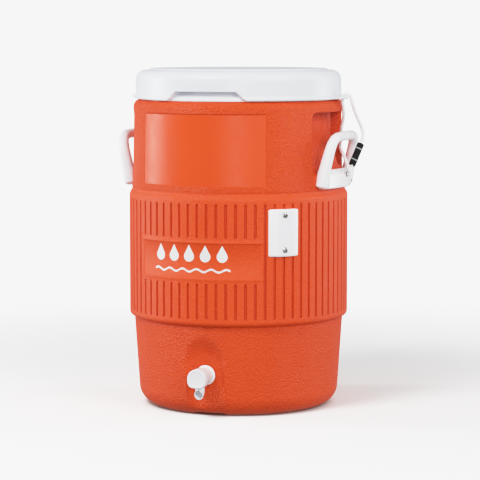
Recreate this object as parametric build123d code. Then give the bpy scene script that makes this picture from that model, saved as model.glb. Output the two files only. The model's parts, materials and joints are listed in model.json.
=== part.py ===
from build123d import *
import math
import os

# Insulated drinking-water jug with a press-in seat lid, a push-button spigot, two side handles
# and a tether. Origin at the centre of the underside, +Z up. The spigot faces -Y, the handles
# stand at +X and -X. All lengths are in millimetres, all angles in degrees.

# ---- Driving dimensions: body ----
BODY_H = 454.0             # top of the moulded outer shell
WALL = 3.2                 # outer shell wall
BASE_CORNER_R = 28.0       # rounding between the underside and the side
BASE_R = 148.4             # side radius where that rounding ends
BASE_HOLLOW_R = 100.0      # raised middle of the underside
BASE_HOLLOW_H = 4.0
BELT_R = 162.5             # ribbed belt
BELT_LOW_Z = 132.0
BELT_HIGH_Z = 321.0
BELT_FOOT_R = 155.4        # side radius just under the belt
NECK_LOW_R = 158.5         # side radius just over the belt
NECK_HIGH_R = 156.1        # side radius at the shoulder
SHOULDER_R = 11.0
MOUTH_R = 130.5            # hole in the shell's top for the liner

# ---- Belt grooves, logo panel and label area ----
GROOVES = 72
GROOVE_W = 4.2
GROOVE_DEPTH = 1.6
GROOVE_LOW_Z = 142.0
GROOVE_HIGH_Z = 309.0
PANEL_FROM = -38.75        # angles are measured from the spigot towards the right handle
PANEL_TO = 31.25
PANEL_LOW_Z = 201.0
PANEL_HIGH_Z = 253.0
PANEL_MARGIN = 6.0         # smooth band between the panel and the grooves over and under it
PANEL_DEPTH = 0.8

# ---- Liner and foam ----
LINER_WALL = 3.0
LINER_TOP_R = 127.0        # inner radius at the rim
LINER_LOW_R = 120.0        # inner radius at the floor
LINER_FLOOR_Z = 31.0
LINER_CORNER_R = 12.0
RIM_R = 148.0              # flange that lies on the shell's top
RIM_H = 3.0
FILL_HOLE_R = 10.0         # hole in the underside that the foam is poured through
FILL_FLANGE_R = 14.0
FILL_FLANGE_T = 1.6
FILL_DEPTH = 6.0

# ---- Lid ----
LID_R = 152.5
LID_TOP_Z = 499.5
LID_EDGE_Z = 497.0         # top of the outer edge, below the raised middle
LID_CORNER_R = 14.0
LID_SEAT_R = 130.0         # raised middle
LID_WALL = 3.0
LID_LOW_Z = 454.8
LIP_R = 154.0
LIP_H = 4.6
LID_GAP = 0.1              # lid pan to liner rim
PLUG_R = 126.2
PLUG_LOW_Z = 431.0
PLUG_CORNER_R = 4.0
LID_FILL_HOLE_R = 8.0      # hole in the plug's floor that the lid's foam is poured through
LID_FILL_FLANGE_R = 12.0
LID_FILL_FLANGE_T = 1.4
LID_FILL_DEPTH = 7.0
NOTCH_LOW_HALF = 58.9      # finger notch in the skirt, above the spigot
NOTCH_HIGH_HALF = 45.0
NOTCH_HIGH_Z = 467.0
FINGER_R = 137.0           # back wall of the finger pocket behind that notch
FINGER_HALF_ANGLE = 24.0
FINGER_HIGH_Z = 469.0
FINGER_WALL = 3.0
FINGER_WALL_ANGLE = 1.3
TAB_X = 159.0              # centre of the tab's round end
TAB_END_R = 10.0
TAB_ROOT_HALF = 17.0
TAB_HOLE_X = 160.2
TAB_HOLE_R = 3.9

# ---- Handles and their pockets ----
POCKET_HALF_ANGLE = 28.0
POCKET_HIGH_Z = 436.0
POCKET_BACK = [(136.5, 402.0), (142.0, 380.0), (147.0, 358.0), (158.6, 346.0)]
HANDLE_HALF_ANGLE = 25.2
HANDLE_LOW_Z = 326.5
HANDLE_HIGH_Z = 354.0
HANDLE_FACE_R = 168.0
HANDLE_FACE_Z = 347.0      # top of the outer face, where the bevel starts
GRIP_X = 164.0
GRIP_Z = 400.0
GRIP_HALF = 59.0
GRIP_FOOT = (149.5, 62.5, 336.0)
GRIP_CORNER_R = 22.0
GRIP_THICK = 14.4
GRIP_TALL = 15.6
SCREW_R = 2.1
SCREW_HEAD_R = 4.2
SCREW_HEAD_H = 2.4
SCREW_LEN = 15.0
HANDLE_SCREWS = [(-21.5, 334.0), (0.0, 345.5), (21.5, 334.0)]

# ---- Cup dispenser bracket ----
BRACKET_ANGLE = 42.4
BRACKET_W = 48.0
BRACKET_H = 68.0
BRACKET_MID_Z = 267.5
BRACKET_BACK_R = 160.6
BRACKET_EDGE_R = 164.3
BRACKET_FACE_R = 167.2
BRACKET_FACE_HALF = 10.5
BRACKET_SCREW_Z = [243.1, 292.9]

# ---- Spigot ----
SPIGOT_Z = 60.5
RECESS_R = 143.0           # flat back wall of the spigot recess, measured along -Y
RECESS_BACK = (23.4, 64.0)     # half width, height of the arch's centre
RECESS_FRONT = (34.0, 79.0)
RECESS_FRONT_Y = 156.0
RECESS_FOOT_Z = 3.6
GASKET_T = 1.5
FLANGE_R = 14.0
FLANGE_T = 3.0
BARREL_R = 12.6
BARREL_END = 177.3
SHANK_R = 8.5
SHANK_END = 108.0
BORE_R = 5.5
FRONT_WALL = 4.3
NOZZLE_Y = 170.3
NOZZLE_R = 6.6
NOZZLE_BORE_R = 5.0
NOZZLE_LOW_Z = 28.6
NOZZLE_CUT_Z = 44.5        # front lip of the slanted mouth
NUT_FLATS = 29.0
NUT_T = 6.0
NUT_FAR = 116.4            # nut's face against the inner gasket
BOSS_R = 4.2               # boss inside the button that holds the stem
BOSS_T = 1.2
STEM_R = 2.5
STEM_CLEARANCE = 0.06
BUTTON_R = 13.7
BUTTON_FACE = 186.5
BUTTON_T = 2.5
BUTTON_SKIRT_END = 170.0
BUTTON_FLAT = 12.4         # the button's face is cut flat this far under its centre
BUTTON_SLOT_HALF = 8.0     # slot in the button's skirt that clears the nozzle
BUTTON_SLOT_TOP = 9.4
SEAL_R = 7.6
SEAL_T = 3.4
STEM_HEAD_R = 5.0
STEM_HEAD_T = 2.6
SPRING_WIRE_R = 0.45
SPRING_BIG_R = 10.0
SPRING_SMALL_R = 6.0
SPRING_TURNS = 3.5
SPRING_STEPS = 12          # points per turn

# ---- Tether ----
ROPE_D = 5.0
TAG_W = 8.4
TAG_T = 5.6
TAG_TOP = (184.06, 17.89, 389.28)
TAG_FOOT = (176.2, -2.0, 358.5)
ROPE_ROUTE = [
    TAG_TOP,
    (186.11, 23.08, 397.32),
    (185.4, 24.0, 408.5),
    (181.5, 17.0, 421.5),
    (177.5, 8.5, 436.0),
    (174.6, 3.5, 449.0),
    (172.8, 1.0, 460.1),
    (166.5, 0.0, 463.8),
    (160.2, 0.0, 460.1),
    (160.3, 1.6, 450.0),
    (160.6, 7.5, 439.0),
    (158.4, 15.0, 428.0),
    (153.4, 23.0, 415.5),
    (150.4, 27.0, 402.5),
    (150.6, 24.5, 391.0),
    (154.0, 14.0, 382.0),
    (161.5, 0.0, 375.5),
    (169.5, -12.5, 368.0),
    (175.3, -18.2, 357.3),
    (173.9, -14.7, 350.8),
    (174.15, -7.2, 350.46),
    TAG_FOOT,
]


def line(a, b):
    return Line((a[0], 0, a[1]), (b[0], 0, b[1]))


def arc(a, b, centre, radius):
    """Arc from a to b about centre, all in the plane of radius and height."""
    mid = Vector((a[0] + b[0]) / 2 - centre[0], 0, (a[1] + b[1]) / 2 - centre[1])
    mid = mid.normalized() * radius
    top = (centre[0] + mid.X, 0, centre[1] + mid.Z)
    return ThreePointArc((a[0], 0, a[1]), top, (b[0], 0, b[1]))


def spun(edges, angle=360.0, start=0.0):
    """Solid of revolution about Z. start is the angle of its first face from +X."""
    face = Face(Wire(edges))
    return Rot(0, 0, start) * revolve(face, axis=Axis.Z, revolution_arc=angle)


def spun_polygon(points, angle=360.0, start=0.0):
    edges = [line(a, b) for a, b in zip(points, points[1:] + points[:1])]
    return spun(edges, angle, start)


def at_front(shape, angle):
    """Turns a shape made on -Y by angle towards +X."""
    return Rot(0, 0, angle) * shape


def rod(radius, near, far, z=SPIGOT_Z):
    """Cylinder on the spigot's axis, between two distances from the jug's axis."""
    middle = Pos(0, -(near + far) / 2, z)
    return middle * Rot(90, 0, 0) * Cylinder(radius, abs(far - near))


def ring(outer, inner, near, far):
    return rod(outer, near, far) - rod(inner, near - 1, far + 1)


def neck_radius(z):
    share = (z - BELT_HIGH_Z - 1) / (BODY_H - SHOULDER_R - BELT_HIGH_Z - 1)
    return NECK_LOW_R + share * (NECK_HIGH_R - NECK_LOW_R)


def body_outline(inset):
    """Filled shape of the body, shrunk by inset. Inset 0 is the outside of the shell."""
    corner = BASE_CORNER_R - inset
    contact = BASE_R - BASE_CORNER_R
    shoulder = SHOULDER_R - inset
    shoulder_x = NECK_HIGH_R - SHOULDER_R
    shoulder_z = BODY_H - SHOULDER_R
    low = [
        (0, BASE_HOLLOW_H + inset),
        (BASE_HOLLOW_R, BASE_HOLLOW_H + inset),
        (BASE_HOLLOW_R + 4, inset),
        (contact, inset),
    ]
    side = [
        (BASE_R - inset, BASE_CORNER_R),
        (BELT_FOOT_R - inset, BELT_LOW_Z + inset / 2),
        (BELT_R - 1.6 - inset, BELT_LOW_Z + 2 + inset / 2),
        (BELT_R - inset, BELT_LOW_Z + 5 + inset / 2),
        (BELT_R - inset, BELT_HIGH_Z - 9 - inset / 2),
        (BELT_R - 1.2 - inset, BELT_HIGH_Z - 4 - inset / 2),
        (NECK_LOW_R - inset, BELT_HIGH_Z + 1 - inset / 2),
        (NECK_HIGH_R - inset, shoulder_z),
    ]
    top = (shoulder_x, BODY_H - inset)
    edges = [line(a, b) for a, b in zip(low, low[1:])]
    edges.append(arc(low[-1], side[0], (contact, BASE_CORNER_R), corner))
    edges += [line(a, b) for a, b in zip(side, side[1:])]
    edges.append(arc(side[-1], top, (shoulder_x, shoulder_z), shoulder))
    edges.append(line(top, (0, BODY_H - inset)))
    edges.append(line((0, BODY_H - inset), low[0]))
    return spun(edges)


def handle_pocket(side, grow):
    """Hollow behind a handle. side is 1 at +X and -1 at -X; grow widens it all round."""
    back = [(r - grow, z) for r, z in POCKET_BACK]
    points = [(back[0][0], POCKET_HIGH_Z + grow)] + back
    points += [(178, POCKET_BACK[-1][1]), (178, POCKET_HIGH_Z + grow)]
    half = POCKET_HALF_ANGLE + math.degrees(grow / 150.0)
    middle = 0 if side > 0 else 180
    return spun_polygon(points, 2 * half, middle - half)


def arch_face(half, centre_z, y, grow, foot_z):
    """Upright arch with straight legs, in the plane at -y."""
    half += grow
    legs = [(-half, foot_z), (half, foot_z), (half, centre_z)]
    left = (-half, centre_z)
    top = (0, -y, centre_z + half)
    edges = [Line((a[0], -y, a[1]), (b[0], -y, b[1])) for a, b in zip(legs, legs[1:])]
    edges.append(ThreePointArc((half, -y, centre_z), top, (-half, -y, centre_z)))
    edges.append(Line((left[0], -y, left[1]), (-half, -y, foot_z)))
    return Face(Wire(edges))


def spigot_recess(grow):
    """Arched scoop in the lower body, open at the base."""
    back_y = RECESS_R - grow
    reach = RECESS_FRONT_Y + 8
    share = (reach - back_y) / (RECESS_FRONT_Y - RECESS_R)
    half = RECESS_BACK[0] + share * (RECESS_FRONT[0] - RECESS_BACK[0])
    centre = RECESS_BACK[1] + share * (RECESS_FRONT[1] - RECESS_BACK[1])
    back = arch_face(RECESS_BACK[0], RECESS_BACK[1], back_y, grow, -12)
    front = arch_face(half, centre, reach, grow, -12)
    scoop = loft([back, front], ruled=True)
    foot = Pos(0, -(BASE_HOLLOW_R + 80), RECESS_FOOT_Z / 2 - 5 + grow / 2)
    return scoop + foot * Box(2 * RECESS_BACK[0] + 2 * grow, 160, RECESS_FOOT_Z + 10 + grow)


def groove(low, high, angle):
    """One round-ended groove across the belt's face."""
    straight = high - low - GROOVE_W
    slot = Box(GROOVE_W, 12, straight)
    for end in (-1, 1):
        slot += Pos(0, 0, end * straight / 2) * Rot(90, 0, 0) * Cylinder(GROOVE_W / 2, 12)
    place = Pos(0, -(BELT_R - GROOVE_DEPTH + 6), (low + high) / 2)
    return at_front(place * slot, angle)


def all_grooves():
    tools = []
    for i in range(GROOVES):
        angle = -180 + (i + 0.5) * 360 / GROOVES
        if PANEL_FROM < angle < PANEL_TO:
            tools.append(groove(GROOVE_LOW_Z, PANEL_LOW_Z - PANEL_MARGIN, angle))
            tools.append(groove(PANEL_HIGH_Z + PANEL_MARGIN, GROOVE_HIGH_Z, angle))
        else:
            tools.append(groove(GROOVE_LOW_Z, GROOVE_HIGH_Z, angle))
    return tools


def panel_recess():
    points = [
        (BELT_R - PANEL_DEPTH, PANEL_LOW_Z),
        (BELT_R + 5, PANEL_LOW_Z),
        (BELT_R + 5, PANEL_HIGH_Z),
        (BELT_R - PANEL_DEPTH, PANEL_HIGH_Z),
    ]
    return spun_polygon(points, PANEL_TO - PANEL_FROM, PANEL_FROM - 90)


def radial_screw(angle, z, radius, head_at, length, shank_r=SCREW_R):
    """Pan-head screw pointing at the jug's axis. Its head rests at head_at."""
    shank = rod(shank_r, head_at - length, head_at, z)
    head = rod(radius, head_at, head_at + SCREW_HEAD_H, z)
    rim = head.faces().sort_by(Axis.Y)[0].edges()
    return at_front(shank + fillet(rim, SCREW_HEAD_H * 0.6), angle)


def screw_hole(angle, z, head_at):
    """Clearance for a screw: its shank's hole and the flat seat that its head lies on."""
    shank = rod(SCREW_R + 0.05, head_at - SCREW_LEN - 0.5, head_at + 1, z)
    seat = rod(SCREW_HEAD_R + 0.5, head_at, head_at + 12, z)
    return at_front(shank + seat, angle)


def handle_screw_places(side):
    return [(side * 90 + a, z) for a, z in HANDLE_SCREWS]


def all_screw_holes():
    holes = []
    for side in (-1, 1):
        holes += [screw_hole(a, z, HANDLE_FACE_R) for a, z in handle_screw_places(side)]
    holes += [screw_hole(BRACKET_ANGLE, z, BRACKET_FACE_R) for z in BRACKET_SCREW_Z]
    return holes


def body_hollows(grow):
    return [handle_pocket(1, grow), handle_pocket(-1, grow), spigot_recess(grow)]


def build_shell():
    solid = body_outline(0) - body_hollows(0)
    hollow = body_outline(WALL) - body_hollows(WALL)
    shell = solid - hollow
    shell -= Pos(0, 0, BODY_H) * Cylinder(MOUTH_R, 4 * WALL)
    shell -= all_grooves()
    shell -= panel_recess()
    shell -= rod(SHANK_R + 0.1, RECESS_R - 2 * WALL, RECESS_R + 1)
    shell -= Pos(0, 0, BASE_HOLLOW_H) * Cylinder(FILL_HOLE_R, 4 * WALL)
    shell -= all_screw_holes()
    return shell


def liner_radius(z):
    share = (z - LINER_FLOOR_Z) / (BODY_H - LINER_FLOOR_Z)
    return LINER_LOW_R + share * (LINER_TOP_R - LINER_LOW_R)


def liner_cup(grow, top_z):
    """Filled shape of the liner's inside, or of its outside with grow as the wall."""
    corner = LINER_CORNER_R + grow
    floor_z = LINER_FLOOR_Z - grow
    turn_z = floor_z + corner
    turn_x = liner_radius(turn_z) + grow
    edges = [
        line((0, floor_z), (turn_x - corner, floor_z)),
        arc((turn_x - corner, floor_z), (turn_x, turn_z), (turn_x - corner, turn_z), corner),
        line((turn_x, turn_z), (liner_radius(top_z) + grow, top_z)),
        line((liner_radius(top_z) + grow, top_z), (0, top_z)),
        line((0, top_z), (0, floor_z)),
    ]
    return spun(edges)


def build_liner():
    rim = Pos(0, 0, BODY_H + RIM_H / 2) * Cylinder(RIM_R, RIM_H)
    liner = liner_cup(LINER_WALL, BODY_H) + rim - liner_cup(0, BODY_H + RIM_H)
    return liner - rod(SHANK_R + 0.1, LINER_LOW_R - 20, LINER_LOW_R + 20)


def build_foam():
    foam = body_outline(WALL) - body_hollows(WALL)
    foam -= liner_cup(LINER_WALL, BODY_H)
    foam -= rod(SHANK_R + 0.1, LINER_LOW_R - 20, RECESS_R)
    foam -= Pos(0, 0, BASE_HOLLOW_H) * Cylinder(FILL_HOLE_R, 2 * FILL_DEPTH + 2)
    return foam - all_screw_holes()


def build_base_plug():
    flange = Pos(0, 0, BASE_HOLLOW_H - FILL_FLANGE_T / 2) * Cylinder(FILL_FLANGE_R, FILL_FLANGE_T)
    stem_at = Pos(0, 0, BASE_HOLLOW_H + FILL_DEPTH / 2)
    return flange + stem_at * Cylinder(FILL_HOLE_R - 0.1, FILL_DEPTH)


def build_handle(side):
    half = HANDLE_HALF_ANGLE
    points = [
        (neck_radius(HANDLE_LOW_Z) - 6, HANDLE_LOW_Z),
        (HANDLE_FACE_R - 3, HANDLE_LOW_Z),
        (HANDLE_FACE_R, HANDLE_LOW_Z + 3),
        (HANDLE_FACE_R, HANDLE_FACE_Z),
        (neck_radius(HANDLE_HIGH_Z) + 2, HANDLE_HIGH_Z),
        (neck_radius(HANDLE_HIGH_Z) - 6, HANDLE_HIGH_Z),
    ]
    plate = spun_polygon(points, 2 * half, -half)
    plate -= Pos(0, 0, (HANDLE_HIGH_Z + POCKET_BACK[-1][1]) / 2 + 10) * Cylinder(
        neck_radius(HANDLE_HIGH_Z), HANDLE_HIGH_Z - POCKET_BACK[-1][1] + 20)
    foot_x, foot_y, foot_z = GRIP_FOOT
    path = FilletPolyline(
        (foot_x, -foot_y, foot_z),
        (GRIP_X, -GRIP_HALF, GRIP_Z),
        (GRIP_X, GRIP_HALF, GRIP_Z),
        (foot_x, foot_y, foot_z),
        radius=GRIP_CORNER_R,
    )
    start = Plane(origin=path @ 0, z_dir=path % 0, x_dir=(0, 1, 0))
    grip = sweep(start * Ellipse(GRIP_TALL / 2, GRIP_THICK / 2), path=path)
    handle = plate + grip
    if side < 0:
        handle = Rot(0, 0, 180) * handle
    handle -= body_outline(0) - [handle_pocket(side, 0)]
    handle -= [screw_hole(a, z, HANDLE_FACE_R) for a, z in handle_screw_places(side)]
    return handle


def handle_screws(side):
    places = handle_screw_places(side)
    return [radial_screw(a, z, SCREW_HEAD_R, HANDLE_FACE_R, SCREW_LEN) for a, z in places]


def build_bracket():
    half = BRACKET_W / 2
    outline = [
        (-half, -BRACKET_BACK_R + 6),
        (half, -BRACKET_BACK_R + 6),
        (half, -BRACKET_EDGE_R + 3.6),
        (half - 1.5, -BRACKET_EDGE_R + 2.2),
        (BRACKET_FACE_HALF, -BRACKET_FACE_R),
        (-BRACKET_FACE_HALF, -BRACKET_FACE_R),
        (-half + 1.5, -BRACKET_EDGE_R + 2.2),
        (-half, -BRACKET_EDGE_R + 3.6),
    ]
    section = Polyline(*[(x, y, 0) for x, y in outline], close=True)
    plate = extrude(Face(Wire(section.edges())), BRACKET_H, dir=(0, 0, 1))
    plate = Pos(0, 0, BRACKET_MID_Z - BRACKET_H / 2) * plate
    plate -= Pos(0, 0, BRACKET_MID_Z) * Cylinder(BELT_R, BRACKET_H + 10)
    plate = at_front(plate, BRACKET_ANGLE)
    return plate - [screw_hole(BRACKET_ANGLE, z, BRACKET_FACE_R) for z in BRACKET_SCREW_Z]


def bracket_screws():
    places = BRACKET_SCREW_Z
    return [radial_screw(BRACKET_ANGLE, z, SCREW_HEAD_R, BRACKET_FACE_R, SCREW_LEN) for z in places]


def build_spigot_body():
    flange_at = RECESS_R + GASKET_T
    body = rod(FLANGE_R, flange_at, flange_at + FLANGE_T)
    body += rod(BARREL_R, flange_at, BARREL_END)
    body += rod(SHANK_R, SHANK_END, flange_at + 1)
    nozzle_h = SPIGOT_Z - NOZZLE_LOW_Z
    nozzle_at = Pos(0, -NOZZLE_Y, NOZZLE_LOW_Z + nozzle_h / 2)
    body += nozzle_at * Cylinder(NOZZLE_R, nozzle_h)
    body -= rod(BORE_R, SHANK_END - 1, BARREL_END - FRONT_WALL)
    body -= nozzle_at * Pos(0, 0, -1) * Cylinder(NOZZLE_BORE_R, nozzle_h)
    body -= rod(STEM_R + STEM_CLEARANCE, SHANK_END, BARREL_END + 1)
    return body - nozzle_cut()


def nozzle_cut():
    """Takes the nozzle's mouth off at a slant, so that it opens down and forward."""
    front = -(NOZZLE_Y + NOZZLE_R + 1)
    back = -(NOZZLE_Y - NOZZLE_R)
    rise = (NOZZLE_CUT_Z - NOZZLE_LOW_Z) / (2 * NOZZLE_R)
    points = [
        (0, front, NOZZLE_LOW_Z - 5),
        (0, back, NOZZLE_LOW_Z - 5),
        (0, back, NOZZLE_LOW_Z),
        (0, front, NOZZLE_LOW_Z + rise * (back - front)),
    ]
    wedge = extrude(Face(Wire(Polyline(*points, close=True).edges())), 12, dir=(1, 0, 0))
    return wedge + mirror(wedge, about=Plane.YZ)


def outer_gasket():
    return ring(FLANGE_R - 0.5, SHANK_R + 0.1, RECESS_R, RECESS_R + GASKET_T)


def inner_gasket():
    """Rubber washer shaped to the liner's curved wall on one side and flat on the other."""
    washer = ring(NUT_FLATS / 2, SHANK_R + 0.1, NUT_FAR, LINER_LOW_R + 8)
    return washer & liner_cup(0, BODY_H)


def spigot_nut():
    near = NUT_FAR - NUT_T
    hexagon = extrude(RegularPolygon(NUT_FLATS / 2, 6, major_radius=False), NUT_T)
    nut = Pos(0, -near, SPIGOT_Z) * Rot(90, 0, 0) * hexagon
    return nut - rod(SHANK_R + 0.1, near - 1, near + NUT_T + 1)


def build_button():
    inner_r = BARREL_R + 0.35
    cap = rod(BUTTON_R, BUTTON_SKIRT_END, BUTTON_FACE)
    face = cap.faces().sort_by(Axis.Y)[0]
    cap = fillet(face.edges(), 1.2)
    cap -= rod(inner_r, BUTTON_SKIRT_END - 1, BUTTON_FACE - BUTTON_T)
    flat = Pos(0, -(BUTTON_FACE + BUTTON_SKIRT_END) / 2, SPIGOT_Z - BUTTON_FLAT - 10)
    cap -= flat * Box(40, 40, 20)
    slot_y = (BUTTON_SKIRT_END + BUTTON_FACE - BUTTON_T) / 2
    slot_h = BUTTON_R - BUTTON_SLOT_TOP + 1
    slot = Pos(0, -slot_y, SPIGOT_Z - BUTTON_SLOT_TOP - slot_h / 2)
    cap -= slot * Box(2 * BUTTON_SLOT_HALF, BUTTON_FACE - BUTTON_T - BUTTON_SKIRT_END, slot_h)
    boss = ring(BOSS_R, STEM_R, BUTTON_FACE - BUTTON_T - BOSS_T, BUTTON_FACE - BUTTON_T)
    return cap + boss


def build_stem():
    stem = rod(STEM_R, SHANK_END - SEAL_T - 0.1, BUTTON_FACE - BUTTON_T)
    head_at = SHANK_END - SEAL_T - 0.1
    return stem + rod(STEM_HEAD_R, head_at - STEM_HEAD_T, head_at)


def build_seal():
    return ring(SEAL_R, STEM_R, SHANK_END - SEAL_T - 0.1, SHANK_END - 0.1)


def stem_o_ring():
    inner = STEM_R + STEM_CLEARANCE
    minor = (BORE_R - inner) / 2
    centre = Pos(0, -(BARREL_END - FRONT_WALL - minor), SPIGOT_Z)
    return centre * Rot(90, 0, 0) * Torus(inner + minor, minor)


def return_spring():
    """Conical spring between the barrel's end and the inside of the button."""
    near = BARREL_END + SPRING_WIRE_R
    height = BUTTON_FACE - BUTTON_T - SPRING_WIRE_R - near
    steps = round(SPRING_TURNS * SPRING_STEPS)
    points = []
    for i in range(steps + 1):
        radius = SPRING_BIG_R + i / steps * (SPRING_SMALL_R - SPRING_BIG_R)
        turn = math.tau * i / SPRING_STEPS
        points.append((radius * math.cos(turn), radius * math.sin(turn), i / steps * height))
    coil = Spline(*points)
    start = Plane(origin=coil @ 0, z_dir=coil % 0)
    wire = sweep(start * Circle(SPRING_WIRE_R), path=coil)
    return Pos(0, -near, SPIGOT_Z) * Rot(90, 0, 0) * wire


def sector(inner, outer, low, high, half):
    """Curved block centred on the front."""
    points = [(inner, low), (outer, low), (outer, high), (inner, high)]
    return spun_polygon(points, 2 * half, -90 - half)


def finger_box(outer, low):
    """Block that the finger pocket's walls are cut from."""
    half = FINGER_HALF_ANGLE + FINGER_WALL_ANGLE
    return sector(FINGER_R - FINGER_WALL, outer, low, FINGER_HIGH_Z + FINGER_WALL, half)


def lid_dome(inset):
    """Filled shape of the lid, shrunk by inset on its upper side."""
    wall_x = LID_R - inset
    turn = (LID_R - LID_CORNER_R, LID_EDGE_Z - LID_CORNER_R)
    corner = LID_CORNER_R - inset
    points = [
        (turn[0], LID_EDGE_Z - inset),
        (LID_SEAT_R + 3 - inset, LID_EDGE_Z - inset),
        (LID_SEAT_R - inset, LID_TOP_Z - inset),
        (0, LID_TOP_Z - inset),
        (0, LID_LOW_Z),
        (wall_x, LID_LOW_Z),
    ]
    edges = [line((wall_x, LID_LOW_Z), (wall_x, turn[1]))]
    edges.append(arc((wall_x, turn[1]), points[0], turn, corner))
    edges += [line(a, b) for a, b in zip(points, points[1:])]
    return spun(edges)


def lid_tab(side):
    root_x = TAB_X - 12
    outline = [
        (root_x, -TAB_ROOT_HALF),
        (TAB_X, -TAB_END_R),
        (TAB_X, TAB_END_R),
        (root_x, TAB_ROOT_HALF),
    ]
    web = make_face(Polyline(*outline, close=True).edges())
    tab = web + Pos(TAB_X, 0) * Circle(TAB_END_R) - Pos(TAB_HOLE_X, 0) * Circle(TAB_HOLE_R)
    tab = Pos(0, 0, LID_LOW_Z) * extrude(tab, LIP_H)
    return tab if side > 0 else Rot(0, 0, 180) * tab


def build_lid_shell():
    lip = Pos(0, 0, LID_LOW_Z + LIP_H / 2) * Cylinder(LIP_R, LIP_H)
    lid = lid_dome(0) + lip + lid_tab(1) + lid_tab(-1)
    lid -= lid_dome(LID_WALL)
    outline = [
        (-NOTCH_LOW_HALF, 0, LID_LOW_Z - 1),
        (NOTCH_LOW_HALF, 0, LID_LOW_Z - 1),
        (NOTCH_HIGH_HALF, 0, NOTCH_HIGH_Z),
        (-NOTCH_HIGH_HALF, 0, NOTCH_HIGH_Z),
    ]
    notch = extrude(Face(Wire(Polyline(*outline, close=True).edges())), 80, dir=(0, -1, 0))
    return lid - Pos(0, -100, 0) * notch


def pan_block():
    """Filled outer shape of the lid pan: the plug, and the ring that lies on the liner's rim."""
    seat_z = BODY_H + RIM_H + LID_GAP
    plug = Pos(0, 0, (PLUG_LOW_Z + seat_z) / 2) * Cylinder(PLUG_R, seat_z - PLUG_LOW_Z)
    plug = fillet(plug.edges().sort_by(Axis.Z)[0], PLUG_CORNER_R)
    flat = Pos(0, 0, seat_z + LID_WALL / 2) * Cylinder(LID_R - LID_WALL, LID_WALL)
    return plug + flat


def build_lid_pan():
    seat_z = BODY_H + RIM_H + LID_GAP
    depth = seat_z + LID_WALL - PLUG_LOW_Z
    hollow = Pos(0, 0, PLUG_LOW_Z + LID_WALL + depth / 2) * Cylinder(PLUG_R - LID_WALL, depth)
    pan = pan_block() - hollow
    pan += finger_box(LID_R - LID_WALL, seat_z)
    pan -= sector(FINGER_R, LID_R + 5, seat_z - 2, FINGER_HIGH_Z, FINGER_HALF_ANGLE)
    return pan - Pos(0, 0, PLUG_LOW_Z) * Cylinder(LID_FILL_HOLE_R, 3 * LID_WALL)


def build_lid_foam():
    seat_z = BODY_H + RIM_H + LID_GAP
    depth = seat_z + LID_WALL - PLUG_LOW_Z
    plug_z = PLUG_LOW_Z + LID_WALL
    foam = Pos(0, 0, plug_z + depth / 2) * Cylinder(PLUG_R - LID_WALL, depth)
    upper = lid_dome(LID_WALL) - Pos(0, 0, seat_z - 40 + LID_WALL) * Cylinder(LID_R + 5, 80)
    foam += upper
    foam -= finger_box(LID_R + 5, seat_z - 2)
    return foam - Pos(0, 0, plug_z) * Cylinder(LID_FILL_HOLE_R, LID_FILL_DEPTH + 3)


def build_lid_plug():
    flange_at = Pos(0, 0, PLUG_LOW_Z - LID_FILL_FLANGE_T / 2)
    stem_at = Pos(0, 0, PLUG_LOW_Z + LID_FILL_DEPTH / 2)
    stem = stem_at * Cylinder(LID_FILL_HOLE_R - 0.1, LID_FILL_DEPTH)
    return flange_at * Cylinder(LID_FILL_FLANGE_R, LID_FILL_FLANGE_T) + stem


def rope_radii(route):
    """Arc radius for each corner of the tether: as large as its two runs allow."""
    points = [Vector(*p) for p in route]
    radii = []
    for a, b, c in zip(points, points[1:], points[2:]):
        turn = math.radians((b - a).get_angle(c - b))
        run = min((b - a).length, (c - b).length)
        radii.append(0.45 * run / math.tan(turn / 2))
    return radii


def build_rope():
    radii = rope_radii(ROPE_ROUTE)
    path = FilletPolyline(*ROPE_ROUTE, radius=radii)
    start = Plane(origin=path @ 0, z_dir=path % 0)
    rope = sweep(start * Circle(ROPE_D / 2), path=path)
    expected = math.pi * ROPE_D ** 2 / 4 * path.length
    print("tether length", round(path.length, 1), "volume ratio", round(rope.volume / expected, 4))
    print("tether radii", [round(r, 1) for r in radii])
    return rope


def build_tag():
    top = Vector(*TAG_TOP)
    foot = Vector(*TAG_FOOT)
    middle = Plane(origin=(top + foot) / 2, x_dir=(0.82, 0.38, -0.42), z_dir=top - foot)
    return middle * Box(TAG_W, TAG_T, (top - foot).length)


def save(name, shape):
    if isinstance(shape, list):
        shape = Compound(children=shape)
    shape.label = name
    export_step(shape, "parts/" + name + ".step")


def main():
    os.makedirs("parts", exist_ok=True)
    save("outer_shell", build_shell())
    save("inner_liner", build_liner())
    save("body_insulation", build_foam())
    save("base_fill_plug", build_base_plug())
    save("handle_right", build_handle(1))
    save("handle_left", build_handle(-1))
    save("handle_screws_right", handle_screws(1))
    save("handle_screws_left", handle_screws(-1))
    save("cup_bracket", build_bracket())
    save("cup_bracket_screws", bracket_screws())
    save("spigot_body", build_spigot_body())
    save("spigot_gasket_outer", outer_gasket())
    save("spigot_gasket_inner", inner_gasket())
    save("spigot_nut", spigot_nut())
    save("stem_o_ring", stem_o_ring())
    save("spigot_button", build_button())
    save("valve_stem", build_stem())
    save("valve_seal", build_seal())
    save("return_spring", return_spring())
    save("lid_shell", build_lid_shell())
    save("lid_underpan", build_lid_pan())
    save("lid_insulation", build_lid_foam())
    save("lid_fill_plug", build_lid_plug())
    save("tether_cord", build_rope())
    save("tether_tag", build_tag())


main()
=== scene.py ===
import bpy
import json
import math
import numpy as np
from mathutils import Matrix, Vector


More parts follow.
